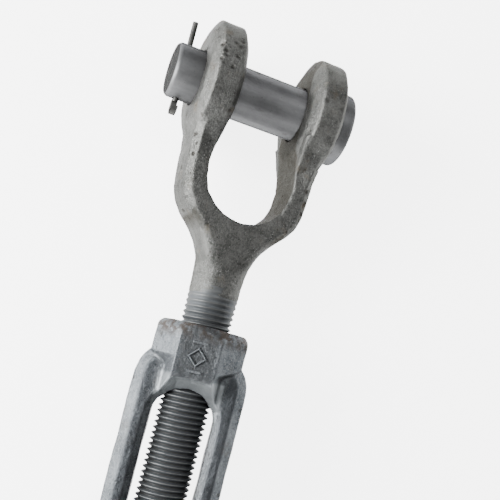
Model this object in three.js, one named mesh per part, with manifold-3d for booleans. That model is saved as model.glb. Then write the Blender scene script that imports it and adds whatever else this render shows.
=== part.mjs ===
// Rigging turnbuckle, jaw and jaw, 1 1/2 in thread with 12 in take-up. Millimetres.
// +X runs along the bolt axis towards jaw 1, +Z is up, both clevis pins lie along Y.
import * as THREE from 'three';
import { mergeVertices } from 'three/addons/utils/BufferGeometryUtils.js';
import Module from 'manifold-3d';

// Thread and take-up
const THREAD_D = 38.1;
const THREAD_GAP = 0.45;
const EXPOSED = 27;
const SHANK_L = 193;

// Body: two eight-sided bosses joined by two reins
const BODY_L = 388;
const WINDOW_L = 288;
const BODY_ROLL = -14.5;
const BOSS_FLAT = 68;
const BOSS_FACET = 31;
const BOSS_L = 56;
const BOSS_EDGE = 3;
const REIN_Y0 = 23.5;
const REIN_Y1 = 42.2;
const REIN_DEPTH = 32;
const REIN_BEVEL = 5.5;
const REIN_ROOT = 26;
const ARCH_DEPTH = 11;

// Jaw: measured from the clevis pin's centre
const PIN_TO_THREAD = 150;
const EAR_R = 45;
const EAR_RIM = 11;
const EAR_TAPER = 4.5;
const EAR_IN = 27;
const EAR_OUT = 54;
const LEG_IN = 33;
const LEG_OUT = 48;
const LEG_DEPTH = 44;
const SADDLE = 97;
const NECK_R = 20.2;

// Clevis pin and cotter
const PIN_D = 40;
const PIN_HOLE_D = 42;
const PIN_END = 74;
const HEAD_D = 56;
const HEAD_T = 10.5;
const HEAD_GAP = 1.5;
const PIN_CHAMFER = 1.5;
const COTTER_Y = 65;
const COTTER_D = 4.2;
const COTTER_HOLE_D = 5.2;
const COTTER_TIP = 38.5;
const COTTER_EYE_X = -24;
const COTTER_EYE_R = 3.9;

const PIN_X = BODY_L / 2 + EXPOSED + PIN_TO_THREAD;
const SEGMENTS = 48;

const wasm = await Module();
wasm.setup();

function solid(geometry) {
  const bare = geometry.clone();
  bare.deleteAttribute('normal');
  bare.deleteAttribute('uv');
  const merged = mergeVertices(bare, 1e-4);
  return new wasm.Manifold(new wasm.Mesh({
    numProp: 3,
    vertProperties: new Float32Array(merged.attributes.position.array),
    triVerts: new Uint32Array(merged.index.array),
  }));
}

function toMesh(manifold, name, color, roughness) {
  const data = manifold.getMesh();
  const geometry = new THREE.BufferGeometry();
  geometry.setAttribute('position', new THREE.BufferAttribute(new Float32Array(data.vertProperties), 3));
  geometry.setIndex(new THREE.BufferAttribute(new Uint32Array(data.triVerts), 1));
  geometry.computeVertexNormals();
  const material = new THREE.MeshStandardMaterial({ color, roughness, metalness: 0.85 });
  const mesh = new THREE.Mesh(geometry, material);
  mesh.name = name;
  return mesh;
}

// A round bar along +X from x0 to x1.
function barX(radius, x0, x1, segments = SEGMENTS) {
  const geometry = new THREE.CylinderGeometry(radius, radius, x1 - x0, segments);
  geometry.rotateZ(-Math.PI / 2);
  geometry.translate((x0 + x1) / 2, 0, 0);
  return geometry;
}

// A turned form along +Y from [radius, y] pairs that start and end on the axis.
function turnedY(profile, segments = SEGMENTS) {
  return new THREE.LatheGeometry(profile.map(([r, y]) => new THREE.Vector2(r, y)), segments);
}

// A flat outline in X and Y, extruded over z from -depth / 2 to depth / 2.
function plateXY(shape, depth, bevel = 0) {
  const geometry = new THREE.ExtrudeGeometry(shape, {
    depth: depth - 2 * bevel,
    bevelEnabled: bevel > 0,
    bevelThickness: bevel,
    bevelSize: bevel,
    bevelOffset: -bevel,
    bevelSegments: 1,
    curveSegments: 10,
  });
  geometry.translate(0, 0, -depth / 2 + bevel);
  return geometry;
}

// The boss outline: eight sides, with wide flats on Y and Z.
function octagon() {
  const a = BOSS_FLAT / 2;
  const b = BOSS_FACET / 2;
  const shape = new THREE.Shape();
  shape.moveTo(a, b);
  [[b, a], [-b, a], [-a, b], [-a, -b], [-b, -a], [b, -a], [a, -b]].forEach(([x, y]) => shape.lineTo(x, y));
  shape.closePath();
  return shape;
}

function boss(side) {
  const geometry = new THREE.ExtrudeGeometry(octagon(), {
    depth: BOSS_L - 2 * BOSS_EDGE,
    bevelEnabled: true,
    bevelThickness: BOSS_EDGE,
    bevelSize: BOSS_EDGE,
    bevelOffset: -BOSS_EDGE,
    bevelSegments: 1,
  });
  geometry.rotateY(Math.PI / 2);
  geometry.translate(BODY_L / 2 - BOSS_L + BOSS_EDGE, 0, 0);
  if (side < 0) {
    geometry.rotateZ(Math.PI);
  }
  return solid(geometry);
}

// Outline of the two reins and their roots, with the window left open.
function frameShape() {
  const end = BODY_L / 2 - REIN_ROOT;
  const top = end + 10;
  const turn = BOSS_FLAT / 2;
  const shape = new THREE.Shape();
  shape.moveTo(-end + 22, REIN_Y1);
  shape.lineTo(end - 22, REIN_Y1);
  shape.bezierCurveTo(end - 8, REIN_Y1, end - 2, turn + 3, top, turn - 4);
  shape.lineTo(top, -turn + 4);
  shape.bezierCurveTo(end - 2, -turn - 3, end - 8, -REIN_Y1, end - 22, -REIN_Y1);
  shape.lineTo(-end + 22, -REIN_Y1);
  shape.bezierCurveTo(-end + 8, -REIN_Y1, -end + 2, -turn - 3, -top, -turn + 4);
  shape.lineTo(-top, turn - 4);
  shape.bezierCurveTo(-end + 2, turn + 3, -end + 8, REIN_Y1, -end + 22, REIN_Y1);
  const w = WINDOW_L / 2;
  const straight = w - ARCH_DEPTH - 8;
  const hole = new THREE.Path();
  hole.moveTo(-straight, REIN_Y0);
  hole.bezierCurveTo(-w + 5, REIN_Y0, -w, 12, -w, 0);
  hole.bezierCurveTo(-w, -12, -w + 5, -REIN_Y0, -straight, -REIN_Y0);
  hole.lineTo(straight, -REIN_Y0);
  hole.bezierCurveTo(w - 5, -REIN_Y0, w, -12, w, 0);
  hole.bezierCurveTo(w, 12, w - 5, REIN_Y0, straight, REIN_Y0);
  hole.closePath();
  shape.holes.push(hole);
  return shape;
}

function windowShape() {
  return new THREE.Shape(frameShape().holes[0].getPoints(10));
}

function turnbuckleBody() {
  const window = solid(plateXY(windowShape(), BOSS_FLAT + 10));
  const bore = solid(barX(THREAD_D / 2 + THREAD_GAP, -BODY_L, BODY_L, 64));
  const frame = solid(plateXY(frameShape(), REIN_DEPTH, REIN_BEVEL));
  const bosses = boss(1).add(boss(-1)).subtract(window);
  const roll = THREE.MathUtils.degToRad(BODY_ROLL);
  const turned = frame.add(bosses).subtract(bore).rotate([(roll * 180) / Math.PI, 0, 0]);
  return toMesh(turned, 'turnbuckle_body', 0x8f9396, 0.55);
}

// The fork seen along Z: legs, saddle and shoulders, x measured from the pin's centre.
function forkShape() {
  const outer = [
    [-30, LEG_OUT + 2], [-50, LEG_OUT + 0.5], [-72, LEG_OUT], [-85, LEG_OUT - 2.5], [-95, LEG_OUT - 7.5],
    [-103, 34], [-111, 27.5], [-119, 23], [-128, NECK_R], [-136, NECK_R - 1],
  ];
  const inner = [
    [-SADDLE, 0], [-SADDLE + 1.5, 9], [-SADDLE + 6, 18.5], [-SADDLE + 13.5, 26.5],
    [-SADDLE + 24, 31.5], [-SADDLE + 36, LEG_IN], [-48, LEG_IN - 1], [-30, EAR_IN + 3],
  ];
  const rim = [...outer, ...outer.map(([x, y]) => [x, -y]).reverse()];
  const notch = [...inner.map(([x, y]) => [x, -y]).reverse(), ...inner.slice(1)];
  return new THREE.Shape([...rim, ...notch].map(([x, y]) => new THREE.Vector2(x, y)));
}

// The fork seen along Y: half depths at each x from the pin's centre.
function depthShape() {
  const half = [[-20, 40], [-38, 31], [-52, 25], [-70, LEG_DEPTH / 2], [-100, LEG_DEPTH / 2], [-120, 21], [-140, 20]];
  const points = [...half, ...half.map(([x, z]) => [x, -z]).reverse()];
  return new THREE.Shape(points.map(([x, z]) => new THREE.Vector2(x, z)));
}

// One ear: a thick disc about the pin's axis with a thinner rim.
function ear(side) {
  const geometry = turnedY([
    [0, EAR_IN],
    [EAR_R - EAR_RIM, EAR_IN],
    [EAR_R, EAR_IN + EAR_TAPER],
    [EAR_R, EAR_OUT - EAR_TAPER],
    [EAR_R - EAR_RIM, EAR_OUT],
    [0, EAR_OUT],
  ]);
  if (side < 0) {
    geometry.rotateX(Math.PI);
  }
  return solid(geometry);
}

function jaw(name) {
  const plan = solid(plateXY(forkShape(), 2 * EAR_R));
  const sideView = plateXY(depthShape(), 4 * EAR_OUT);
  sideView.rotateX(Math.PI / 2);
  const neck = solid(barX(NECK_R, -142, -118));
  const shank = solid(barX(THREAD_D / 2, -PIN_TO_THREAD - SHANK_L, -130));
  const hole = new THREE.CylinderGeometry(PIN_HOLE_D / 2, PIN_HOLE_D / 2, 4 * EAR_OUT, 64);
  const forging = plan.intersect(solid(sideView)).add(ear(1)).add(ear(-1)).add(neck).add(shank);
  return toMesh(forging.subtract(solid(hole)).translate([PIN_X, 0, 0]), name, 0x85898c, 0.5);
}

function clevisPin(name) {
  const r = PIN_D / 2;
  const seat = -EAR_OUT - HEAD_GAP;
  const body = solid(turnedY([
    [0, seat - HEAD_T],
    [HEAD_D / 2 - PIN_CHAMFER, seat - HEAD_T],
    [HEAD_D / 2, seat - HEAD_T + PIN_CHAMFER],
    [HEAD_D / 2, seat],
    [r, seat],
    [r, PIN_END - PIN_CHAMFER],
    [r - PIN_CHAMFER, PIN_END],
    [0, PIN_END],
  ]));
  const cross = barX(COTTER_HOLE_D / 2, -PIN_D, PIN_D, 24);
  cross.translate(0, COTTER_Y, 0);
  return toMesh(body.subtract(solid(cross)).translate([PIN_X, 0, 0]), name, 0x9a9da0, 0.4);
}

function cotter(name) {
  const legs = barX(COTTER_D / 2, COTTER_EYE_X, COTTER_TIP, 16);
  const eye = new THREE.TorusGeometry(COTTER_EYE_R, COTTER_D / 2, 12, 28);
  eye.rotateX(Math.PI / 2);
  eye.translate(COTTER_EYE_X - COTTER_EYE_R + 0.6, 0, 0);
  const body = solid(legs).add(solid(eye)).translate([PIN_X, COTTER_Y, 0]);
  return toMesh(body, name, 0xb4b7ba, 0.35);
}

// Everything on one jaw; jaw 2 is the same set turned half a turn about Z.
function jawSet(prefix, turned) {
  const set = [jaw(prefix), clevisPin(`${prefix}_pin`), cotter(`${prefix}_cotter`)];
  if (turned) {
    set.forEach((mesh) => mesh.geometry.rotateZ(Math.PI));
  }
  return set;
}

const group = new THREE.Group();
group.name = 'rigging_turnbuckle';
group.add(turnbuckleBody(), ...jawSet('jaw_1', false), ...jawSet('jaw_2', true));

export default group;
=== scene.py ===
"""Galvanised jaw-and-jaw rigging turnbuckle, lying on a pale floor. Metres, in the CAD frame."""

import logging
import math
import random
from dataclasses import dataclass, field
from enum import Enum
from typing import Callable, Iterable, Optional, Sequence

import bmesh
import bpy
from bmesh.types import BMEdge, BMesh, BMFace, BMVert
from bpy.types import Material, Mesh, Node, NodeSocket, NodeTree, Object
from mathutils import Matrix, Vector, noise
from mathutils.kdtree import KDTree


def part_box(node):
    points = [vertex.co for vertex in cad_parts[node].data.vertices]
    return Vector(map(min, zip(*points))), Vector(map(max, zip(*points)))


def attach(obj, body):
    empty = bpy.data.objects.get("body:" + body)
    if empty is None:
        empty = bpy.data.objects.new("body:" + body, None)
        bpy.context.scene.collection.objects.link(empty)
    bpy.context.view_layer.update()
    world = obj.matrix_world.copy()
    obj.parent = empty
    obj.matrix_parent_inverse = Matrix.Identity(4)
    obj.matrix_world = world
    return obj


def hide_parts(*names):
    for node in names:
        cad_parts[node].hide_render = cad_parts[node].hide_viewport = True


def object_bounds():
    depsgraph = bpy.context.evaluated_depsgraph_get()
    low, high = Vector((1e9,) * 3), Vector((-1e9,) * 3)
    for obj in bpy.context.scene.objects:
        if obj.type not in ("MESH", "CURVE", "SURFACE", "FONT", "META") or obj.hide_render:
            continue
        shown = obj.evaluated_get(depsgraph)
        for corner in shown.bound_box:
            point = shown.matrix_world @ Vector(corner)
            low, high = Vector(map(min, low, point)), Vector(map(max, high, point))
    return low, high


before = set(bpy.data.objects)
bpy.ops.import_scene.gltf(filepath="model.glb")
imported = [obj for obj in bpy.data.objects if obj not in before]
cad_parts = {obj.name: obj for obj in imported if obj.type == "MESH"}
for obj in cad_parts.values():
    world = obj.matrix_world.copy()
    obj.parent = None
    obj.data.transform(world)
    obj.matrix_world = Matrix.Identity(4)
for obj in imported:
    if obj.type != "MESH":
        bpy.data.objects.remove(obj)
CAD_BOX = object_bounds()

logging.basicConfig(level=logging.INFO, format="%(message)s")
LOG = logging.getLogger("turnbuckle")

MM = 0.001
AXIS_X = Vector((1, 0, 0))
AXIS_Y = Vector((0, 1, 0))
AXIS_Z = Vector((0, 0, 1))
Point = tuple[float, float]
FORGED_SHEEN = {"Specular_Tint": (0.34, 0.34, 0.34, 1.0), "Specular_IOR_Level": 0.2}
BAR_SHEEN = {"Specular_Tint": (0.12, 0.12, 0.12, 1.0), "Specular_IOR_Level": 0.2}
BLACK_SPOT = (0.022, 0.02, 0.018)
BARE_ZINC = (0.3, 0.3, 0.3)
PIT_DIRT = (0.02, 0.017, 0.014)
RUST = (0.03, 0.018, 0.01)
# Painted shade for the inside faces of the jaw's fork.
FORK_PAINTED_SHADE = (0.026, 0.023, 0.017)
# Painted highlight for the window's arch.
ARCH_PAINTED_HIGHLIGHT = (0.3, 0.322, 0.335)
COLLAR_SHADE = (0.032, 0.035, 0.039)
# Painted shade for the bosses' front facets.
FACET_PAINTED_SHADE = (0.028, 0.028, 0.028)
SCUFF = (0.03, 0.03, 0.03)
OLD_OIL = (0.055, 0.048, 0.034)
# Painted shade for the pin's stub and end face.
PIN_PAINTED_SHADE = (0.022, 0.022, 0.021)
BODY_TURN_COS = 0.9681
BODY_TURN_SIN = 0.2504


# Shader expressions and nodes


class Expr:
    """A shader socket that can be used in Python arithmetic."""

    def __init__(self, shop: "Shop", socket: NodeSocket) -> None:
        """Wrap a socket.

        Args:
            shop: The node maker of the tree that the socket is in.
            socket: The output socket.
        """
        self.shop = shop
        self.socket = socket

    def _math(self, operation: str, *values: "Expr | float", clamp: bool = False) -> "Expr":
        """Add a Math node over the values and return its output."""
        settings = {"operation": operation, "use_clamp": clamp}
        return self.shop.node("ShaderNodeMath", settings, dict(enumerate(values)))

    def __add__(self, other: "Expr | float") -> "Expr":
        """Return self + other."""
        return self._math("ADD", self, other)

    def __radd__(self, other: float) -> "Expr":
        """Return other + self."""
        return self._math("ADD", other, self)

    def __sub__(self, other: "Expr | float") -> "Expr":
        """Return self - other."""
        return self._math("SUBTRACT", self, other)

    def __rsub__(self, other: float) -> "Expr":
        """Return other - self."""
        return self._math("SUBTRACT", other, self)

    def __mul__(self, other: "Expr | float") -> "Expr":
        """Return self * other."""
        return self._math("MULTIPLY", self, other)

    def __rmul__(self, other: float) -> "Expr":
        """Return other * self."""
        return self._math("MULTIPLY", other, self)

    def __truediv__(self, other: "Expr | float") -> "Expr":
        """Return self / other."""
        return self._math("DIVIDE", self, other)

    def __pow__(self, other: float) -> "Expr":
        """Return self to the power other."""
        return self._math("POWER", self, other)

    def __abs__(self) -> "Expr":
        """Return the size of self."""
        return self._math("ABSOLUTE", self)

    def clamped(self) -> "Expr":
        """Return self held between 0 and 1."""
        return self._math("ADD", self, 0.0, clamp=True)

    def rise(self, low: float, high: float) -> "Expr":
        """Return a smooth 0 to 1 as self goes from low to high.

        Args:
            low: The value that gives 0.
            high: The value that gives 1; it may be below low.

        Returns:
            The smooth step.
        """
        settings = {"interpolation_type": "SMOOTHSTEP"}
        if low > high:
            return 1.0 - self.rise(high, low)
        values = {"Value": self, "From Min": low, "From Max": high}
        return self.shop.node("ShaderNodeMapRange", settings, values)


class Shop:
    """Makes the nodes of one material."""

    def __init__(self, name: str) -> None:
        """Start an empty material.

        Args:
            name: The material's name.
        """
        self.material: Material = bpy.data.materials.new(name)
        self.material.use_nodes = True
        self.tree: NodeTree = self.material.node_tree
        self.tree.nodes.clear()
        self.place: Expr = self.node("ShaderNodeTexCoord", {}, {}, "Object")

    def node(self, kind: str, settings: dict, values: dict, output: "str | int" = 0) -> Expr:
        """Add one node.

        Args:
            kind: The node's type.
            settings: Its own settings, set first.
            values: Values or links for its sockets, by name or number.
            output: The output wanted.

        Returns:
            That output, ready for arithmetic.
        """
        made: Node = self.tree.nodes.new(kind)
        for key, value in settings.items():
            setattr(made, key, value)
        for key, value in values.items():
            if isinstance(value, Expr):
                self.tree.links.new(value.socket, made.inputs[key])
            else:
                made.inputs[key].default_value = value
        return Expr(self, made.outputs[output])

    def axis(self, index: int) -> Expr:
        """Return one coordinate of the surface point: 0, 1 or 2 for X, Y or Z."""
        return self.node("ShaderNodeSeparateXYZ", {}, {0: self.place}, index)

    def stretched(self, scale: tuple[float, float, float]) -> Expr:
        """Return the coordinates scaled by a factor for each axis."""
        return self.node("ShaderNodeMapping", {}, {"Vector": self.place, "Scale": scale})

    def cloud(
        self, size_mm: float, detail: float = 3.0, rough: float = 0.55, where: Optional[Expr] = None
    ) -> Expr:
        """Return soft noise.

        Args:
            size_mm: The size of its blobs.
            detail: How many finer layers it has.
            rough: The strength of the finer layers.
            where: Coordinates other than the plain ones.

        Returns:
            The noise value.
        """
        values = {"Vector": where or self.place, "Scale": 1000.0 / size_mm}
        values.update({"Detail": detail, "Roughness": rough})
        return self.node("ShaderNodeTexNoise", {}, values)

    def cells(self, size_mm: float) -> Expr:
        """Return the distance to the nearest point of a cell pattern with cells of a size."""
        values = {"Vector": self.place, "Scale": 1000.0 / size_mm}
        return self.node("ShaderNodeTexVoronoi", {}, values, "Distance")

    def blend(self, share: "Expr | float", low: "Expr | tuple", high: "Expr | tuple") -> Expr:
        """Mix two colours.

        Args:
            share: 0 for low, 1 for high.
            low: The first colour.
            high: The second colour.

        Returns:
            The mixed colour.
        """
        paint = [c if isinstance(c, Expr) else (*c, 1.0) for c in (low, high)]
        settings = {"data_type": "RGBA", "clamp_factor": True}
        return self.node("ShaderNodeMix", settings, {0: share, 6: paint[0], 7: paint[1]}, 2)

    def bump(self, height: Expr, depth_mm: float, under: Optional[Expr] = None) -> Expr:
        """Return a bumped normal.

        Args:
            height: The height, about 0 to 1.
            depth_mm: How deep a height of 1 is.
            under: A bump that this one goes over.

        Returns:
            The normal.
        """
        values: dict = {"Height": height, "Distance": depth_mm * MM, "Strength": 1.0}
        if under is not None:
            values["Normal"] = under
        return self.node("ShaderNodeBump", {}, values)

    def finish(
        self, colour: Expr, rough: Expr, metal: "Expr | float", normal: Expr, **fixed: object
    ) -> Material:
        """Close the material with a Principled shader.

        Args:
            colour: The base colour.
            rough: The roughness.
            metal: The metallic share.
            normal: The bumped normal.
            **fixed: Values of other sockets, underscores for spaces.

        Returns:
            The material.
        """
        values: dict = {"Base Color": colour, "Roughness": rough, "Metallic": metal, "Normal": normal}
        values.update({key.replace("_", " "): value for key, value in fixed.items()})
        shader = self.node("ShaderNodeBsdfPrincipled", {}, values)
        self.node_output(shader)
        return self.material

    def node_output(self, shader: Expr) -> None:
        """Link a shader to the material's output."""
        out = self.tree.nodes.new("ShaderNodeOutputMaterial")
        self.tree.links.new(shader.socket, out.inputs[0])


# Finishes


class PaintedLightZone(Enum):
    """The part of a forging where light is painted into the colour: painted shade inside the fork, or a
    painted highlight on the window's arch with painted shade on the collar flats and the boss front facets.
    """

    FORK = "fork"
    ARCH = "arch"


@dataclass(frozen=True)
class GalvanisedForging:
    """Hot-dip zinc over a shot-blasted forging: dull grey, grainy, stained where water stands, with painted
    shade or a painted highlight in a chosen zone.
    """

    name: str
    light: tuple[float, float, float] = (0.165, 0.168, 0.166)
    dark: tuple[float, float, float] = (0.062, 0.065, 0.066)
    stain: tuple[float, float, float] = (0.07, 0.053, 0.032)
    stain_share: float = 0.5
    rust_from: Optional[Point] = None
    metal: float = 0.88
    gloss: float = 0.0
    painted_light_zone: Optional[PaintedLightZone] = None

    def make(self) -> Material:
        """Build the material."""
        shop = Shop(self.name)
        broad = shop.cloud(38.0, 4.0, 0.6)
        patch = shop.cloud(9.0, 5.0, 0.65)
        speck = shop.cloud(2.2, 4.0, 0.75).rise(0.36, 0.64)
        grain = shop.cloud(1.1, 3.0, 0.7)
        fine = shop.cloud(0.45, 2.0, 0.6)
        tone = broad.rise(0.34, 0.68) * 0.3 + patch.rise(0.35, 0.65) * 0.3
        tone = tone + speck * 0.22 + grain.rise(0.3, 0.7) * 0.3 - 0.1
        colour = shop.blend(tone.clamped(), self.dark, self.light)
        spots = shop.cells(4.6).rise(0.2, 0.07) * patch.rise(0.48, 0.58)
        colour = shop.blend(spots * 0.85, colour, BLACK_SPOT)
        bright = shop.cells(2.0).rise(0.3, 0.1) * patch.rise(0.56, 0.4)
        colour = shop.blend(bright * 0.45, colour, BARE_ZINC)
        pit = shop.node("ShaderNodeAttribute", {"attribute_name": "pit"}, {}, "Fac").rise(0.1, 0.9)
        colour = shop.blend(pit * 0.62, colour, PIT_DIRT)
        damp = shop.cloud(17.0, 6.0, 0.7).rise(0.55, 0.72) * self.stain_share
        colour = shop.blend(damp, colour, self.stain)
        rough = 0.5 - self.gloss + 0.22 * (patch - 0.5) + 0.25 * (grain - 0.5) + 0.2 * damp
        metal = self.metal - 0.55 * damp
        if self.rust_from is not None:
            near = abs(shop.axis(0)).rise(*self.rust_from) * shop.cloud(6.0, 5.0, 0.7).rise(0.41, 0.56)
            colour = shop.blend(near * 0.8, colour, RUST)
            rough = rough + 0.25 * near
            metal = metal - 0.5 * near
        if self.painted_light_zone is PaintedLightZone.FORK:
            # Painted shade: the inside faces of the legs and saddle are darkened where the other leg and the
            # saddle shadow them.
            inside = abs(shop.axis(1)).rise(0.037, 0.0345) * abs(shop.axis(2)).rise(0.0215, 0.019)
            inside = inside * abs(shop.axis(0)).rise(0.262, 0.27) * (0.55 + 0.45 * speck)
            colour = shop.blend(inside * 0.75, colour, FORK_PAINTED_SHADE)
            rough = rough + 0.12 * inside
        if self.painted_light_zone is PaintedLightZone.ARCH:
            along = abs(shop.axis(0))
            across = abs(shop.axis(1) * BODY_TURN_COS - shop.axis(2) * BODY_TURN_SIN)
            height = abs(shop.axis(1) * BODY_TURN_SIN + shop.axis(2) * BODY_TURN_COS)
            # Painted highlight: a pale blue-grey band on the window's arch stands in for the light it catches
            # from the low side.
            arch_highlight = along.rise(0.1575, 0.1545) * along.rise(0.125, 0.134) * across.rise(0.0255, 0.0235)
            arch_highlight = arch_highlight * height.rise(0.0342, 0.0328)
            colour = shop.blend(arch_highlight * 0.7, colour, ARCH_PAINTED_HIGHLIGHT)
            flats = height.rise(0.0158, 0.0168) * along.rise(0.166, 0.16) * across.rise(0.0255, 0.0285)
            flats = flats * across.rise(0.037, 0.034) * (0.5 + 0.5 * speck)
            colour = shop.blend(flats * 0.8, colour, COLLAR_SHADE)
            # Painted shade: the boss front facets are darkened, mottled by the specks.
            facet = across.rise(0.015, 0.011) * along.rise(0.15, 0.158) * height.rise(0.03, 0.032)
            facet = facet * height.rise(0.03515, 0.0347) * (0.35 + 0.65 * speck)
            colour = shop.blend(facet * 0.7, colour, FACET_PAINTED_SHADE)
        low = shop.bump(patch, 0.5)
        mid = shop.bump(grain * 0.5 + speck * 0.5 - 0.8 * spots, 0.24, low)
        normal = shop.bump(fine + 0.8 * spots, 0.05, mid)
        return shop.finish(colour, rough.clamped(), metal.clamped(), normal, **FORGED_SHEEN)


@dataclass(frozen=True)
class OiledThread:
    """Cut thread under dark oily zinc: painted shade darkens the roots nearly to black, and the crests are
    lighter from worn zinc and a painted highlight.
    """

    name: str
    crest_mm: float = 19.05
    root_mm: float = 16.5
    crest: tuple[float, float, float] = (0.145, 0.15, 0.148)
    flank: tuple[float, float, float] = (0.056, 0.061, 0.066)
    root: tuple[float, float, float] = (0.036, 0.037, 0.037)
    clean: tuple[float, float, float] = (0.078, 0.081, 0.081)

    def make(self) -> Material:
        """Build the material."""
        shop = Shop(self.name)
        radius = (shop.axis(1) ** 2.0 + shop.axis(2) ** 2.0) ** 0.5 * 1000.0
        patch = shop.cloud(7.0, 4.0, 0.6)
        grain = shop.cloud(0.8, 3.0, 0.7)
        height = (radius - self.root_mm) / (self.crest_mm - self.root_mm)
        crest_wear_and_highlight = (height + 0.35 * (patch - 0.5)).rise(0.86, 1.02)
        # Painted shade: the colour darkens from the flanks down into the roots.
        colour = shop.blend(height.rise(0.05, 0.6), self.root, self.flank)
        # Crests: worn zinc and a painted highlight, a lighter colour with more metal.
        colour = shop.blend(crest_wear_and_highlight * 0.9, colour, self.crest)
        bare = abs(shop.axis(0)).rise(0.19, 0.2) * (0.2 + 0.8 * height.rise(0.55, 1.0))
        colour = shop.blend(bare * 0.8, colour, self.clean)
        rough = 0.48 + 0.25 * (grain - 0.5) + 0.2 * (patch - 0.5)
        metal = 0.55 + 0.35 * crest_wear_and_highlight
        normal = shop.bump(grain, 0.06)
        return shop.finish(colour, rough.clamped(), metal.clamped(), normal, **FORGED_SHEEN)


@dataclass(frozen=True)
class ZincBar:
    """Galvanised drawn bar: smooth grey with faint draw marks along Y, soft worn bands, and painted shade on
    the stub beside the ear and on the stub's end face.
    """

    name: str
    light: tuple[float, float, float] = (0.19, 0.192, 0.196)
    dark: tuple[float, float, float] = (0.085, 0.087, 0.09)
    metal: float = 0.9

    def make(self) -> Material:
        """Build the material."""
        shop = Shop(self.name)
        drawn = shop.stretched((1.0, 0.06, 1.0))
        bands = shop.cloud(9.0, 3.0, 0.5, drawn)
        marks = shop.cloud(0.9, 4.0, 0.7, drawn)
        patch = shop.cloud(11.0, 5.0, 0.65)
        grain = shop.cloud(0.7, 2.0, 0.6)
        tone = bands.rise(0.3, 0.7) * 0.5 + marks * 0.25 + patch.rise(0.3, 0.7) * 0.3
        colour = shop.blend(tone.clamped(), self.dark, self.light)
        scuffs = shop.cloud(1.6, 4.0, 0.8).rise(0.62, 0.7)
        colour = shop.blend(scuffs * 0.6, colour, SCUFF)
        smear = shop.cloud(14.0, 5.0, 0.7).rise(0.58, 0.72)
        colour = shop.blend(smear * 0.4, colour, OLD_OIL)
        # Painted shade: the band of the stub next to the ear is darkened, most near the ear, and the stub's
        # end face is darkened as well.
        end_sign = (shop.axis(0) * 1000.0).clamped() * 2.0 - 1.0
        across = shop.axis(1) * end_sign
        shade = across.rise(0.0505, 0.054) * across.rise(0.076, 0.055) * (0.6 + 0.4 * patch)
        colour = shop.blend(shade * 0.7, colour, PIN_PAINTED_SHADE)
        end = across.rise(0.0731, 0.0738)
        colour = shop.blend(end * (0.7 + 0.3 * marks), colour, PIN_PAINTED_SHADE)
        rough = 0.54 + 0.2 * (patch - 0.5) + 0.2 * (marks - 0.5) + 0.15 * smear + 0.1 * end
        low = shop.bump(patch, 0.25)
        normal = shop.bump(marks * 0.6 + grain * 0.4, 0.05, low)
        return shop.finish(colour, rough.clamped(), self.metal, normal, **BAR_SHEEN)


@dataclass(frozen=True)
class PaleFloor:
    """Plain matte studio paper."""

    name: str
    shade: float = 0.9
    glow: float = 4.7

    def make(self) -> Material:
        """Build the material."""
        shop = Shop(self.name)
        fibre = shop.cloud(3.0, 2.0, 0.5)
        tone = shop.blend(fibre, (self.shade,) * 3, (self.shade + 0.02,) * 3)
        glow = shop.blend(fibre, (0.98, 0.98, 0.98), (1.0, 1.0, 1.0))
        fixed = {"Specular_IOR_Level": 0.2, "Emission_Strength": self.glow, "Emission_Color": glow}
        return shop.finish(tone, 0.85 + 0.05 * fibre, 0.0, shop.bump(fibre, 0.01), **fixed)


# Mesh helpers


class Axis(Enum):
    """The two axes that round parts are turned about."""

    ALONG_X = "x"
    ALONG_Y = "y"


def turned(profile: Iterable[Point], axis: Axis, steps: int = 96) -> BMesh:
    """Turn an open profile into a closed round solid.

    Args:
        profile: (along, radius) pairs in millimetres; both ends have radius 0.
        axis: The axis it is turned about.
        steps: Steps round the circle.

    Returns:
        The solid.
    """
    bm = bmesh.new()
    verts = []
    for along, radius in profile:
        spot = (along, 0, radius) if axis is Axis.ALONG_X else (0, along, radius)
        verts.append(bm.verts.new(Vector(spot) * MM))
    edges = [bm.edges.new(pair) for pair in zip(verts, verts[1:])]
    about = AXIS_X if axis is Axis.ALONG_X else AXIS_Y
    bmesh.ops.spin(
        bm, geom=verts + edges, cent=(0, 0, 0), axis=about, angle=math.tau, steps=steps, use_merge=True
    )
    tidy(bm)
    return bm


def prism(outline: Iterable[Point], low: float, high: float, rim: float = 0.0, rim_steps: int = 2) -> BMesh:
    """Extrude a flat outline along Z.

    Args:
        outline: (x, y) corners in millimetres.
        low: The lower z.
        high: The upper z.
        rim: The bevel along the edges of both faces.
        rim_steps: Segments of that bevel.

    Returns:
        The solid.
    """
    bm = bmesh.new()
    base = bm.faces.new([bm.verts.new(Vector((x, y, low)) * MM) for x, y in outline])
    made = bmesh.ops.extrude_face_region(bm, geom=[base], use_keep_orig=True)
    top = only(made["geom"], BMVert)
    bmesh.ops.translate(bm, verts=top, vec=(0, 0, (high - low) * MM))
    tidy(bm)
    if rim > 0:
        edges = [e for e in bm.edges if abs(e.verts[0].co.z - e.verts[1].co.z) < 1e-7]
        soften(bm, edges, rim, rim_steps)
    return bm


def only(geom: Iterable, kind: type) -> list:
    """Return the elements of one kind from mixed geometry."""
    return [part for part in geom if isinstance(part, kind)]


def everything(bm: BMesh) -> list:
    """Return all of a mesh's vertices, edges and faces."""
    return [*bm.verts, *bm.edges, *bm.faces]


def soften(bm: BMesh, edges: Sequence, width: float, steps: int = 3) -> None:
    """Bevel edges by a width in millimetres, in a number of steps."""
    bmesh.ops.bevel(
        bm, geom=list(edges), offset=width * MM, affect="EDGES", segments=steps, profile=0.5, material=-1,
        offset_type="OFFSET", clamp_overlap=True,
    )


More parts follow.
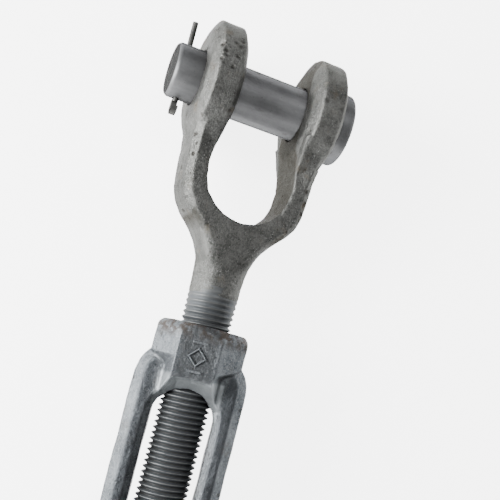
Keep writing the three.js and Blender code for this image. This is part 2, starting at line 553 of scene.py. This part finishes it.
def tidy(bm: BMesh) -> None:
    """Merge doubles, drop the inner faces that an extrusion leaves and turn every face outwards."""
    bmesh.ops.remove_doubles(bm, verts=bm.verts, dist=1e-6)
    inner = [f for f in bm.faces if all(len(e.link_faces) > 2 for e in f.edges)]
    bmesh.ops.delete(bm, geom=inner, context="FACES_ONLY")
    bmesh.ops.recalc_face_normals(bm, faces=bm.faces)


def moved(bm: BMesh, matrix: Matrix) -> BMesh:
    """Transform a solid in place and return it."""
    bmesh.ops.transform(bm, matrix=matrix, verts=bm.verts)
    if matrix.determinant() < 0:
        bmesh.ops.recalc_face_normals(bm, faces=bm.faces)
    return bm


def shifted(bm: BMesh, x: float = 0, y: float = 0, z: float = 0) -> BMesh:
    """Move a solid by millimetres and return it."""
    return moved(bm, Matrix.Translation(Vector((x, y, z)) * MM))


def as_object(parts: Sequence[BMesh], name: str, smooth: bool = True) -> Object:
    """Put solids into one new object.

    Args:
        parts: The solids; each is freed.
        name: The object's name.
        smooth: Whether faces are shaded smooth.

    Returns:
        The object, linked to the scene.
    """
    mesh: Mesh = bpy.data.meshes.new(name)
    whole = bmesh.new()
    for part in parts:
        part.to_mesh(mesh)
        part.free()
        whole.from_mesh(mesh)
    for face in whole.faces:
        face.smooth = smooth
    whole.to_mesh(mesh)
    whole.free()
    made = bpy.data.objects.new(name, mesh)
    bpy.context.scene.collection.objects.link(made)
    return made


def settled(piece: Object) -> Object:
    """Apply a piece's modifiers to its mesh and return it."""
    shape = bpy.data.meshes.new_from_object(piece.evaluated_get(bpy.context.evaluated_depsgraph_get()))
    shape.name = piece.name
    piece.modifiers.clear()
    piece.data = shape
    return piece


def forged(parts: Sequence[BMesh], cuts: Sequence[BMesh], name: str, voxel: float, soft: int) -> Object:
    """Fuse overlapping solids into one skin with rounded inner and outer corners.

    Args:
        parts: Solids that are joined.
        cuts: Solids that are taken away.
        name: The object's name.
        voxel: The cell size in millimetres.
        soft: Rounds of smoothing.

    Returns:
        The fused object.
    """
    piece = as_object(parts, name)
    fuse = piece.modifiers.new("fuse", "REMESH")
    fuse.mode = "VOXEL"
    fuse.voxel_size = voxel * MM
    tools = [as_object([cut], f"{name}_cut") for cut in cuts]
    for tool in tools:
        bite = piece.modifiers.new("bite", "BOOLEAN")
        bite.operation = "DIFFERENCE"
        bite.object = tool
    even = piece.modifiers.new("even", "REMESH")
    even.mode = "VOXEL"
    even.voxel_size = voxel * MM
    relax = piece.modifiers.new("relax", "SMOOTH")
    relax.factor = 0.5
    relax.iterations = soft
    settled(piece)
    thin(piece)
    for tool in tools:
        bpy.data.objects.remove(tool)
    for face in piece.data.polygons:
        face.use_smooth = True
    return piece


def thin(piece: Object, most: int = 185000) -> None:
    """Bring a piece's triangles down to a number, keeping its shape."""
    triangles = sum(len(face.vertices) - 2 for face in piece.data.polygons)
    if triangles > most:
        fewer = piece.modifiers.new("thin", "DECIMATE")
        fewer.ratio = most / triangles
        settled(piece)


def reshaped(piece: Object, rule: Callable[[Vector, Vector], float]) -> None:
    """Move each vertex along its normal.

    Args:
        piece: The piece to reshape.
        rule: Takes a vertex's place and normal and gives the move in metres.
    """
    bm = bmesh.new()
    bm.from_mesh(piece.data)
    bm.normal_update()
    moves = [v.normal * rule(v.co, v.normal) for v in bm.verts]
    for vert, move in zip(bm.verts, moves):
        vert.co += move
    bm.to_mesh(piece.data)
    bm.free()


def blended(piece: Object, rounds: int, keep: Callable[[Vector], bool]) -> None:
    """Smooth part of a skin.

    Args:
        piece: The piece.
        rounds: Rounds of smoothing.
        keep: Says whether a vertex is smoothed.
    """
    bm = bmesh.new()
    bm.from_mesh(piece.data)
    chosen = [v for v in bm.verts if keep(v.co)]
    for _ in range(rounds):
        bmesh.ops.smooth_vert(bm, verts=chosen, factor=0.5, use_axis_x=True, use_axis_y=True, use_axis_z=True)
    bm.to_mesh(piece.data)
    bm.free()


def pitted(
    piece: Object, count: int, size: Point, depth: Point, seed: int, keep: Callable[[Vector], bool]
) -> None:
    """Press small irregular pits into a skin and store their depth in the attribute "pit".

    Args:
        piece: The piece to pit.
        count: The number of pits.
        size: Smallest and largest radius, in millimetres.
        depth: Smallest and largest depth, in millimetres.
        seed: The random seed.
        keep: Says whether a pit may be centred at a point.
    """
    draw = random.Random(seed)
    verts = piece.data.vertices
    places = [v.co.copy() for v in verts]
    normals = [v.normal.copy() for v in verts]
    tree = KDTree(len(verts))
    for index, place in enumerate(places):
        tree.insert(place, index)
    tree.balance()
    spots = [index for index, place in enumerate(places) if keep(place)]
    store = piece.data.attributes.get("pit") or piece.data.attributes.new("pit", "FLOAT", "POINT")
    dirt = [0.0] * len(places)
    store.data.foreach_get("value", dirt)
    for _ in range(count):
        middle = places[draw.choice(spots)]
        radius = draw.uniform(*size) * MM
        deep = draw.uniform(*depth) * MM
        for place, index, gap in tree.find_range(middle, radius):
            ragged = 1.0 + 0.5 * noise.noise(place * 900.0)
            fall = max(0.0, 1.0 - (gap / radius) ** 2 * ragged)
            places[index] = places[index] - normals[index] * (deep * fall)
            dirt[index] = max(dirt[index], min(1.0, fall * deep * 1400.0))
    store.data.foreach_set("value", dirt)
    verts.foreach_set("co", [c for place in places for c in place])
    piece.data.update()


def dressed(piece: Object, finish: Material, body: str, slot: str, *nodes: str) -> Object:
    """Give a piece its finish and body, and stand it in for CAD nodes.

    Args:
        piece: The piece.
        finish: Its material.
        body: The body it rides on.
        slot: Not used.
        *nodes: CAD nodes that it replaces.

    Returns:
        The piece.
    """
    piece.data.materials.clear()
    piece.data.materials.append(finish)
    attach(piece, body)
    if nodes:
        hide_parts(*nodes)
    LOG.info("%s: %d faces on %s", piece.name, len(piece.data.polygons), body)
    return piece


# Sub-assemblies


@dataclass
class Body:
    """The open forging: two eight-sided bosses and the two reins between them."""

    length: float = 388.0
    window: float = 286.0
    roll: float = -14.5
    flat: float = 68.0
    facet: float = 31.0
    boss: float = 60.0
    collar: float = 25.0
    hood: float = 22.0
    root: float = 26.0
    rein_in: float = 23.5
    rein_out: float = 42.2
    rein_depth: float = 35.0
    arch_slope: float = 12.5
    bore: float = 39.9
    cone_r: float = 31.2
    cone_lean: Point = (0.74, 0.67)
    cone_steps: int = 32
    mark_back: float = 23.0
    mark_away: float = 10.5
    mark_bar: tuple[float, float, float] = (1.9, 11.0, 2.2)
    diamond_r: float = 6.2
    voxel: float = 0.85

    def build(self, finish: Material) -> Object:
        """Build and dress the body.

        Args:
            finish: The forging's material.

        Returns:
            The body piece.
        """
        parts = [self._rails(), self._boss(1), self._boss(-1)]
        cuts = [self._window(), self._bore()]
        piece = forged(parts, cuts, "body_forging", self.voxel, 2)
        reshaped(piece, self._hammered)
        pitted(piece, 260, (1.2, 2.8), (0.15, 0.6), 11, lambda p: abs(p.x) < 0.19)
        self._add_mark(piece)
        piece.data.transform(Matrix.Rotation(math.radians(self.roll), 4, "X"))
        return dressed(piece, finish, "body", "body_forging", "turnbuckle_body")

    def _rails(self) -> BMesh:
        """Return the plate that becomes the reins and their roots."""
        end = self.length / 2 - self.root
        half = self.flat / 2
        quarter = [
            (end - 30, self.rein_out), (end - 16, self.rein_out - 0.3), (end - 8, self.rein_out - 1.6),
            (end - 3, self.rein_out - 4.0), (end + 0.5, half + 1.6), (end + 3.5, half - 2.0),
        ]
        right = quarter + [(x, -y) for x, y in reversed(quarter)]
        outline = right + [(-x, -y) for x, y in right]
        deep = self.rein_depth / 2
        return prism(outline, -deep, deep, 7.8, 1)

    def _boss(self, side: int) -> BMesh:
        """Return one boss, on the +X side for 1 and the -X side for -1."""
        a = self.flat / 2
        b = self.facet / 2
        ring = [(a, b), (b, a), (-b, a), (-a, b), (-a, -b), (-b, -a), (b, -a), (a, -b)]
        bm = prism(ring, 0, self.boss)
        for depth in (self.collar, self.collar + 9.0):
            level = (0, 0, (self.boss - depth) * MM)
            bmesh.ops.bisect_plane(bm, geom=everything(bm), plane_co=level, plane_no=AXIS_Z)
        for vert in bm.verts:
            if abs(vert.co.y) > 0.02 and vert.co.z < (self.boss - self.collar - 1.0) * MM:
                vert.co.y *= self.hood / a
        outwards, up = self.cone_lean
        for step in range(self.cone_steps):
            out = Matrix.Rotation(math.tau * step / self.cone_steps, 3, "Z") @ AXIS_X
            spot = (out * self.cone_r + AXIS_Z * self.boss) * MM
            lean = out * outwards + AXIS_Z * up
            cut = bmesh.ops.bisect_plane(
                bm, geom=everything(bm), plane_co=spot, plane_no=lean, clear_outer=True
            )
            bmesh.ops.holes_fill(bm, edges=only(cut["geom_cut"], BMEdge))
        tidy(bm)
        moved(bm, Matrix.Rotation(math.radians(90), 4, "Y"))
        shifted(bm, self.length / 2 - self.boss)
        return bm if side > 0 else moved(bm, Matrix.Rotation(math.pi, 4, "Z"))

    def _window(self) -> BMesh:
        """Return the cutter for the window, flared towards both faces."""
        w = self.window / 2
        y = self.rein_in
        quarter = [
            (w, 0), (w - 0.9, y * 0.36), (w - 3.4, y * 0.66), (w - 7.8, y * 0.88),
            (w - 14, y * 0.985), (w - 22, y),
        ]
        right = [(x, -v) for x, v in reversed(quarter[1:])] + quarter
        outline = right + [(-x, -v) for x, v in right]
        bm = prism(outline, -12.5, 12.5)
        for side in (1, -1):
            cap = [f for f in bm.faces if f.normal.z * side > 0.9 and f.calc_center_median().z * side > 0.01]
            for wide, rise, back in ((5.0, 5.2, 2.6), (0.4, 16.5, self.arch_slope - 2.6), (0.4, 12.0, 8.0)):
                made = bmesh.ops.extrude_face_region(bm, geom=cap)
                verts = only(made["geom"], BMVert)
                bmesh.ops.translate(bm, verts=verts, vec=(0, 0, side * rise * MM))
                grow = (1 + back / w, 1 + wide / y, 1)
                bmesh.ops.scale(bm, verts=verts, vec=grow)
                cap = only(made["geom"], BMFace)
        tidy(bm)
        return bm

    def _bore(self) -> BMesh:
        """Return the cutter for both threaded bores, opened a little at their mouths."""
        r = self.bore / 2
        end = self.length / 2
        half = [(end - 1.5, r), (end + 5, r + 7), (end + 5, 0)]
        return turned([(-x, v) for x, v in reversed(half)] + half, Axis.ALONG_X, 64)

    def _hammered(self, place: Vector, normal: Vector) -> float:
        """Return the forging's unevenness and its trimmed flash line at a point."""
        lump = noise.noise(place * 55.0) * 0.5 + noise.noise(place * 170.0) * 0.16
        seam = max(0.0, 1.0 - abs(place.z) / 0.0016) if abs(normal.y) > 0.7 and abs(place.y) > 0.03 else 0.0
        pebble = noise.noise(place * 430.0) * 0.22 if abs(normal.z) > 0.9 else 0.0
        return (lump + pebble + 0.45 * seam * (0.6 + noise.noise(place * 120.0))) * MM

    def _add_mark(self, piece: Object) -> None:
        """Add the raised forging mark, a plain diamond between bars, to both front facets."""
        bm = bmesh.new()
        bm.from_mesh(piece.data)
        for side in (1, -1):
            self._mark_shapes(bm, side)
        bm.to_mesh(piece.data)
        bm.free()

    def _mark_shapes(self, bm: BMesh, side: int) -> None:
        """Add one mark to a mesh, on the +X boss for 1 and the -X boss for -1."""
        x = side * (self.length / 2 - self.mark_back) * MM
        z = (self.flat / 2 + 0.2) * MM
        for away in (-self.mark_away, self.mark_away):
            made = bmesh.ops.create_cube(bm, size=1.0)["verts"]
            bmesh.ops.scale(bm, verts=made, vec=[size * MM for size in self.mark_bar])
            bmesh.ops.translate(bm, verts=made, vec=(x + away * MM, 0, z))
            edges = {e for v in made for e in v.link_edges}
            soften(bm, list(edges), 0.4, 2)
        diamond = bmesh.new()
        bmesh.ops.create_circle(diamond, segments=8, radius=1.05 * MM, cap_ends=True)
        bmesh.ops.rotate(diamond, verts=diamond.verts, matrix=Matrix.Rotation(math.radians(90), 3, "X"))
        bmesh.ops.translate(diamond, verts=diamond.verts, vec=(self.diamond_r * MM, 0, 0))
        bmesh.ops.spin(
            diamond, geom=[*diamond.verts, *diamond.edges], cent=(0, 0, 0), axis=AXIS_Z,
            angle=math.tau, steps=4, use_merge=True,
        )
        caps = [f for f in diamond.faces if len(f.verts) > 4]
        bmesh.ops.delete(diamond, geom=caps, context="FACES_ONLY")
        tidy(diamond)
        bmesh.ops.translate(diamond, verts=diamond.verts, vec=(x, 0, z + 0.4 * MM))
        spare = bpy.data.meshes.new("diamond")
        diamond.to_mesh(spare)
        diamond.free()
        bm.from_mesh(spare)
        bpy.data.meshes.remove(spare)


class End(Enum):
    """The two ends of the turnbuckle: name prefix, turn about Z, and hand of the thread."""

    ONE = ("jaw_1", 0.0, 1)
    TWO = ("jaw_2", math.pi, -1)

    @property
    def prefix(self) -> str:
        """Return the node name prefix."""
        return self.value[0]

    @property
    def number(self) -> str:
        """Return the end's number."""
        return self.value[0][-1]

    @property
    def hand(self) -> int:
        """Return 1 for a right-hand thread and -1 for a left-hand one."""
        return self.value[2]

    def place(self, pin_x: float) -> Matrix:
        """Return the matrix from jaw sizes, measured from the pin, to the frame."""
        return Matrix.Rotation(self.value[1], 4, "Z") @ Matrix.Translation((pin_x, 0, 0))


def pin_centre() -> float:
    """Return how far the clevis pins stand from the middle, from the CAD pin's box."""
    low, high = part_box("jaw_1_pin")
    return (low[0] + high[0]) / 2


@dataclass
class Jaw:
    """One jaw: eared legs, saddle, neck and threaded shank. Sizes are from its pin's centre."""

    end: End
    ear_r: float = 45.0
    ear_in: float = 27.0
    ear_out: float = 54.0
    leg_in: float = 33.0
    leg_out: float = 48.0
    leg_depth: float = 44.0
    saddle: float = 97.0
    hole: float = 41.6
    thread_at: float = 150.0
    thread_length: float = 193.0
    thread_r: float = 19.05
    pitch: float = 4.233
    thread_depth: float = 2.55
    thread_steps: int = 44
    run_out: Point = (32.0, 36.0)
    voxel: float = 0.85

    def build(self, forging: Material, thread: Material) -> list[Object]:
        """Build and dress the jaw.

        Args:
            forging: The forging's material.
            thread: The shank's material.

        Returns:
            The forging and its threaded shank.
        """
        place = self.end.place(pin_centre())
        body = self.end.prefix
        parts = [self._fork(), self._ear(1), self._ear(-1), self._neck()]
        cuts = [turned([(-70, 0), (-70, self.hole / 2), (70, self.hole / 2), (70, 0)], Axis.ALONG_Y, 72)]
        piece = forged(parts, cuts, f"{body}_forging", self.voxel, 2)
        for start, rounds in ((-0.078, 5), (-0.1, 6), (-0.106, 14), (-0.112, 50)):
            blended(piece, rounds, lambda p, start=start: -0.15 < p.x < start)
        reshaped(piece, self._hammered)
        pitted(piece, 240, (0.9, 2.6), (0.15, 0.7), 23, lambda p: p.x > -0.13 and abs(p.y) > 0.02)
        pitted(piece, 15, (0.8, 2.5), (0.5, 1.3), 31, self._on_ear_rim)
        pitted(piece, 60, (1.0, 3.0), (0.5, 1.2), 29, self._on_leg_edge)
        piece.data.transform(place)
        dressed(piece, forging, body, "jaw_forging", self.end.prefix)
        shank = as_object([self._thread()], f"{body}_thread")
        shank.data.transform(place)
        dressed(shank, thread, body, "jaw_forging")
        return [piece, shank]

    def _fork(self) -> BMesh:
        """Return the legs and the saddle."""
        out, inn, s = self.leg_out, self.leg_in, self.saddle
        rim = [
            (-22, out + 3.5), (-36, out + 2), (-52, out + 0.6), (-68, out + 0.2), (-80, out - 1.2),
            (-89, out - 4.2), (-97, out - 9.8), (-104, out - 16.6), (-110, out - 21.6),
            (-116, out - 25.2), (-122, out - 28), (-128, 18), (-134, 14),
        ]
        notch = [
            (-22, self.ear_in + 1.5), (-38, self.ear_in + 3.2), (-50, inn - 0.8), (-60, inn),
            (-s + 26, inn - 1.2), (-s + 16, 28.4), (-s + 8, 21.8), (-s + 3, 14), (-s + 0.6, 6.5),
            (-s, 0),
        ]
        outline = rim + [(x, -y) for x, y in reversed(rim)]
        outline += [(x, -y) for x, y in notch[:-1]] + [(x, y) for x, y in reversed(notch)]
        bm = prism(outline, -self.leg_depth / 2, self.leg_depth / 2)
        for x in (-30, -40, -60, -70, -80):
            bmesh.ops.bisect_plane(bm, geom=everything(bm), plane_co=(x * MM, 0, 0), plane_no=AXIS_X)
        for vert in bm.verts:
            vert.co.z *= self._depth(vert.co.x / MM)
        sharp = [e for e in bm.edges if e.calc_face_angle(0) > 0.6]
        edges = [e for e in sharp if abs(e.verts[0].co.z - e.verts[1].co.z) < 0.006]
        outer = [e for e in edges if self._is_outer((e.verts[0].co + e.verts[1].co) / 2)]
        inner = [e for e in edges if e not in outer]
        soften(bm, outer, 5.0, 1)
        soften(bm, [e for e in inner if e.is_valid], 2.0, 2)
        return bm

    def _is_outer(self, place: Vector) -> bool:
        """Return whether a point of the fork is on its outer outline rather than its notch."""
        return place.x < -self.saddle * MM or abs(place.y) > (self.leg_in + self.leg_out) / 2 * MM

    @staticmethod
    def _on_leg_edge(place: Vector) -> bool:
        """Return whether a point is on the outer long edges of the legs."""
        return abs(abs(place.z) - 0.0205) < 0.0025 and abs(place.y) > 0.044

    @staticmethod
    def _on_ear_rim(place: Vector) -> bool:
        """Return whether a point is on the upper far part of the first ear's rim."""
        return 0.0 < place.x < 0.028 and place.z > 0.02 and 0.036 < place.y < 0.05 and place.xz.length > 0.042

    @staticmethod
    def _depth(x: float) -> float:
        """Return how much deeper the legs get towards the ears, at x millimetres from the pin."""
        near = max(0.0, (x + 58.0) / 36.0)
        far = max(0.0, (-x - 98.0) / 40.0)
        return 1.0 + 0.75 * near ** 1.6 - 0.14 * min(1.0, far)

    def _ear(self, side: int) -> BMesh:
        """Return one ear, a thick disc with rounded rims, on the +Y side for 1."""
        r, a, b = self.ear_r, self.ear_in, self.ear_out
        half = [(a, 0), (a, r - 11.5), (a + 0.4, r - 9.6), (a + 4.2, r - 1.6), (a + 5.6, r)]
        full = half + [(a + b - y, v) for y, v in reversed(half)]
        bm = turned(full, Axis.ALONG_Y, 96)
        return bm if side > 0 else moved(bm, Matrix.Scale(-1, 4, AXIS_Y))

    def _neck(self) -> BMesh:
        """Return the round neck from the saddle to the thread."""
        profile = [
            (-99, 0), (-100, 15), (-104, 23), (-108, 25.6), (-113, 24.7), (-119, 22.7), (-125, 21.0),
            (-131, 20.0), (-138, 19.4), (-146, 19.1), (-151, 18.95), (-154, 18.0), (-154, 0),
        ]
        bm = turned(profile, Axis.ALONG_X, 72)
        for vert in bm.verts:
            flat = self.leg_depth / 2 * self._depth(vert.co.x / MM) * MM
            vert.co.z = max(-flat, min(flat, vert.co.z))
        return bm

    def _hammered(self, place: Vector, normal: Vector) -> float:
        """Return the forging's unevenness and its trimmed flash line at a point."""
        lump = noise.noise(place * 60.0) * 0.45 + noise.noise(place * 190.0) * 0.18
        rim = abs(place.y) > 0.03 or place.x < -0.1
        seam = max(0.0, 1.0 - abs(place.z) / 0.0013) if rim and abs(normal.z) < 0.5 else 0.0
        return (lump + 0.4 * seam * (0.7 + noise.noise(place * 150.0))) * MM

    def _thread(self) -> BMesh:
        """Return the threaded shank as one closed helical solid."""
        low = self.thread_r - self.thread_depth
        p = self.pitch
        high = self.thread_r
        tooth = [(0.5, high - 0.25), (0.55, high), (0.65, high), (0.7, high - 0.25)]
        marks = [(0.0, low), (0.16, low), *tooth, (1.0, low)]
        start = -self.thread_at - self.thread_length - 2 * p
        bm = bmesh.new()
        verts = [bm.verts.new(Vector((start + u * p, 0, r)) * MM) for u, r in marks]
        edges = [bm.edges.new(pair) for pair in zip(verts, verts[1:])]
        steps = self.thread_steps
        bmesh.ops.spin(
            bm, geom=verts + edges, cent=(0, 0, 0), axis=AXIS_X, dvec=(p * MM / steps, 0, 0),
            angle=math.tau, steps=steps,
        )
        turns = 1
        while turns < self.thread_length / p + 3:
            copied = bmesh.ops.duplicate(bm, geom=everything(bm))
            fresh = only(copied["geom"], BMVert)
            bmesh.ops.translate(bm, verts=fresh, vec=(turns * p * MM, 0, 0))
            turns *= 2
        bmesh.ops.remove_doubles(bm, verts=bm.verts, dist=2e-6)
        tip = -self.thread_at - self.thread_length
        for x, way in ((tip, -1), (-self.thread_at + 4, 1)):
            cut = bmesh.ops.bisect_plane(
                bm, geom=everything(bm), plane_co=(x * MM, 0, 0), plane_no=AXIS_X * way, clear_outer=True
            )
            bmesh.ops.holes_fill(bm, edges=only(cut["geom_cut"], BMEdge))
        for vert in bm.verts:
            self._fade(vert, tip)
        if self.end.hand < 0:
            bmesh.ops.scale(bm, verts=bm.verts, vec=(1, -1, 1))
        tidy(bm)
        return bm

    def _fade(self, vert: BMVert, tip: float) -> None:
        """Run a thread vertex out at the neck and chamfer it at the tip."""
        x = vert.co.x / MM
        radius = math.hypot(vert.co.y, vert.co.z) / MM
        if radius < 1e-6:
            return
        wanted = radius
        start, over = self.run_out
        out = (x + self.thread_at + start) / over
        if out > 0:
            wanted = radius + (self.thread_r - 0.15 - radius) * min(1.0, out)
        wanted = min(wanted, self.thread_r - self.thread_depth - 0.6 + (x - tip) * 1.1)
        vert.co.y *= wanted / radius
        vert.co.z *= wanted / radius


@dataclass
class ClevisPin:
    """One clevis pin: round bar, flat head, cross hole."""

    end: End
    radius: float = 20.0
    stub: float = 74.0
    seat: float = 55.5
    head_r: float = 28.0
    head: float = 10.5
    cross_y: float = 65.0
    cross_r: float = 2.6

    def build(self, finish: Material) -> Object:
        """Build and dress the pin.

        Args:
            finish: The bar's material.

        Returns:
            The pin.
        """
        r, hr = self.radius, self.head_r
        seat, stub, far = self.seat, self.stub, self.seat + self.head
        profile = [
            (-far, 0), (-far, hr * 0.5), (-far + 0.1, hr - 3.4), (-far + 0.35, hr - 1.9),
            (-far + 1.0, hr - 0.8), (-far + 2.0, hr - 0.15), (-far + 3.2, hr),
            (-seat - 1.6, hr), (-seat - 0.5, hr - 0.4), (-seat, hr - 1.3), (-seat, r + 1.0),
            (-seat + 0.6, r + 0.3), (-seat + 1.6, r), (stub - 3.2, r), (stub - 2.2, r - 0.25),
            (stub - 0.7, r - 1.3), (stub - 0.2, r - 2.1), (stub, r - 3.2), (stub, 0),
        ]
        piece = as_object([turned(profile, Axis.ALONG_Y, 128)], f"{self.end.prefix}_clevis_pin")
        drill = turned([(-30, 0), (-30, self.cross_r), (30, self.cross_r), (30, 0)], Axis.ALONG_X, 32)
        tool = as_object([shifted(drill, y=self.cross_y)], "drill")
        bite = piece.modifiers.new("bite", "BOOLEAN")
        bite.operation = "DIFFERENCE"
        bite.object = tool
        settled(piece)
        bpy.data.objects.remove(tool)
        self._sharpen(piece)
        piece.data.transform(self.end.place(pin_centre()))
        return dressed(piece, finish, f"pin_{self.end.number}", "clevis_pin", f"{self.end.prefix}_pin")

    @staticmethod
    def _sharpen(piece: Object) -> None:
        """Shade the pin smooth except across its sharp edges."""
        for face in piece.data.polygons:
            face.use_smooth = True
        piece.data.set_sharp_from_angle(angle=math.radians(40))


@dataclass
class Cotter:
    """One split cotter: half-round wire bent round an eye, its legs side by side."""

    end: End
    cross_y: float = 65.0
    wire: float = 2.1
    tip: float = 38.5
    split: float = -22.6
    flare: float = 0.9
    gap: float = 0.06
    swing: float = 50.0
    arc_steps: int = 10

    def build(self, finish: Material) -> Object:
        """Build and dress the cotter.

        Args:
            finish: The wire's material.

        Returns:
            The cotter.
        """
        bm = bmesh.new()
        arc = [math.pi * i / self.arc_steps for i in range(self.arc_steps + 1)]
        spots = [(self.tip, self.wire * math.cos(a), self.gap + self.wire * math.sin(a)) for a in arc]
        tail = bm.faces.new([bm.verts.new(Vector(s) * MM) for s in spots])
        face = self._run(bm, tail, self.split)
        face = self._bend(bm, face, Vector((self.split, 0, self.gap + self.flare + self.wire)), -self.swing)
        face = self._bend(bm, face, self._eye_centre(), 180 + 2 * self.swing)
        face = self._bend(bm, face, Vector((self.split, 0, -self.gap - self.flare - self.wire)), -self.swing)
        self._run(bm, face, self.tip - 3.0)
        tidy(bm)
        piece = as_object([shifted(bm, y=self.cross_y)], f"{self.end.prefix}_split_cotter")
        piece.data.set_sharp_from_angle(angle=math.radians(50))
        piece.data.transform(self.end.place(pin_centre()))
        return dressed(piece, finish, f"cotter_{self.end.number}", "cotter_wire", f"{self.end.prefix}_cotter")

    def _eye_centre(self) -> Vector:
        """Return the middle of the eye, where both flared legs meet its circle."""
        swing = math.radians(self.swing)
        rest = math.radians(90 - self.swing)
        z = self.gap + (self.flare + self.wire) * (1 - math.cos(swing))
        x = self.split - (self.flare + self.wire) * math.sin(swing)
        return Vector((x - z / math.sin(rest) * math.cos(rest), 0, 0))

    @staticmethod
    def _run(bm: BMesh, face: BMFace, x: float) -> BMFace:
        """Extrude the wire's end face along X to x millimetres and return the new end."""
        made = bmesh.ops.extrude_face_region(bm, geom=[face])
        verts = only(made["geom"], BMVert)
        mean = sum(v.co.x for v in verts) / len(verts)
        bmesh.ops.translate(bm, verts=verts, vec=(x * MM - mean, 0, 0))
        return only(made["geom"], BMFace)[0]

    @staticmethod
    def _bend(bm: BMesh, face: BMFace, centre: Vector, degrees: float) -> BMFace:
        """Spin the wire's end face about an axis along Y and return the new end."""
        steps = max(6, int(abs(degrees) / 10))
        angle = math.radians(degrees)
        made = bmesh.ops.spin(bm, geom=[face], cent=centre * MM, axis=AXIS_Y, angle=angle, steps=steps)
        return only(made["geom_last"], BMFace)[0]


@dataclass
class Studio:
    """Floor, lights, surroundings and camera."""

    floor_size: float = 40.0
    floor_drop: float = 0.4
    aim: tuple[float, float, float] = (0.2, 0.0, 0.0)
    sky: float = 0.12
    eye: tuple[float, float, float] = (0.16688, 0.16658, 0.63431)
    turn: tuple[float, float, float] = (-2.415, -20.835, -74.691)
    lens: float = 62.67
    shift: tuple[float, float] = (-0.093, 0.182)
    lamps: list[tuple] = field(default_factory=lambda: [
        ("key", (0.2, 1.4, 0.5), 0.9, 85.0),
        ("fill", (0.7, -1.4, 0.8), 1.0, 12.0),
        ("low", (-1.4, 0.3, 0.7), 0.9, 20.0),
        ("top", (1.1, 0.1, 1.7), 1.0, 16.0),
    ])

    def build(self, floor: Material) -> None:
        """Build the studio round the object.

        Args:
            floor: The floor's material.
        """
        self._floor(floor)
        self._world()
        for name, place, size, power in self.lamps:
            self._lamp(name, Vector(place), Vector(self.aim), size, power)
        self._camera()
        LOG.info("studio ready")

    def _floor(self, material: Material) -> None:
        """Lay the floor just under the lowest point of the CAD box."""
        bm = bmesh.new()
        bmesh.ops.create_grid(bm, x_segments=4, y_segments=4, size=self.floor_size / 2)
        shifted(bm, z=CAD_BOX[0][2] / MM - self.floor_drop)
        floor = as_object([bm], "studio_floor", smooth=False)
        floor.data.materials.append(material)

    def _world(self) -> None:
        """Set plain even surroundings."""
        world = bpy.data.worlds.new("studio")
        bpy.context.scene.world = world
        world.use_nodes = True
        sky = world.node_tree.nodes["Background"]
        sky.inputs["Color"].default_value = (1, 1, 1, 1)
        sky.inputs["Strength"].default_value = self.sky

    @staticmethod
    def _lamp(name: str, place: Vector, aim: Vector, size: float, power: float) -> None:
        """Hang one square soft light that faces a point."""
        data = bpy.data.lights.new(name, "AREA")
        data.shape = "SQUARE"
        data.size = size
        data.energy = power
        lamp = bpy.data.objects.new(name, data)
        lamp.location = place
        lamp.rotation_euler = (aim - place).to_track_quat("-Z", "Y").to_euler()
        bpy.context.scene.collection.objects.link(lamp)

    def _camera(self) -> None:
        """Set the camera over the jaw end, seen a little from the body's side."""
        data = bpy.data.cameras.new("camera")
        data.lens = self.lens
        data.sensor_width = 36.0
        data.shift_x, data.shift_y = self.shift
        camera = bpy.data.objects.new("camera", data)
        camera.location = self.eye
        camera.rotation_euler = [math.radians(a) for a in self.turn]
        bpy.context.scene.collection.objects.link(camera)
        bpy.context.scene.camera = camera


def main() -> None:
    """Build every sub-assembly in order."""
    blue = {"light": (0.165, 0.177, 0.186), "dark": (0.045, 0.05, 0.055), "painted_light_zone": PaintedLightZone.ARCH}
    aged = {"rust_from": (0.179, 0.19), "stain_share": 0.3, "gloss": 0.1}
    forging = GalvanisedForging("body_zinc", **aged, **blue).make()
    warm = {"light": (0.145, 0.146, 0.14), "dark": (0.044, 0.045, 0.042), "painted_light_zone": PaintedLightZone.FORK}
    jaw_zinc = GalvanisedForging("jaw_zinc", gloss=0.05, **warm).make()
    thread = OiledThread("oiled_thread").make()
    bar = ZincBar("zinc_bar").make()
    wire = ZincBar("bright_wire", light=(0.14, 0.14, 0.135), dark=(0.04, 0.04, 0.038)).make()
    Body().build(forging)
    for end in End:
        Jaw(end).build(jaw_zinc, thread)
        ClevisPin(end).build(bar)
        Cotter(end).build(wire)
    Studio().build(PaleFloor("pale_floor").make())


if __name__ == "__main__":
    main()
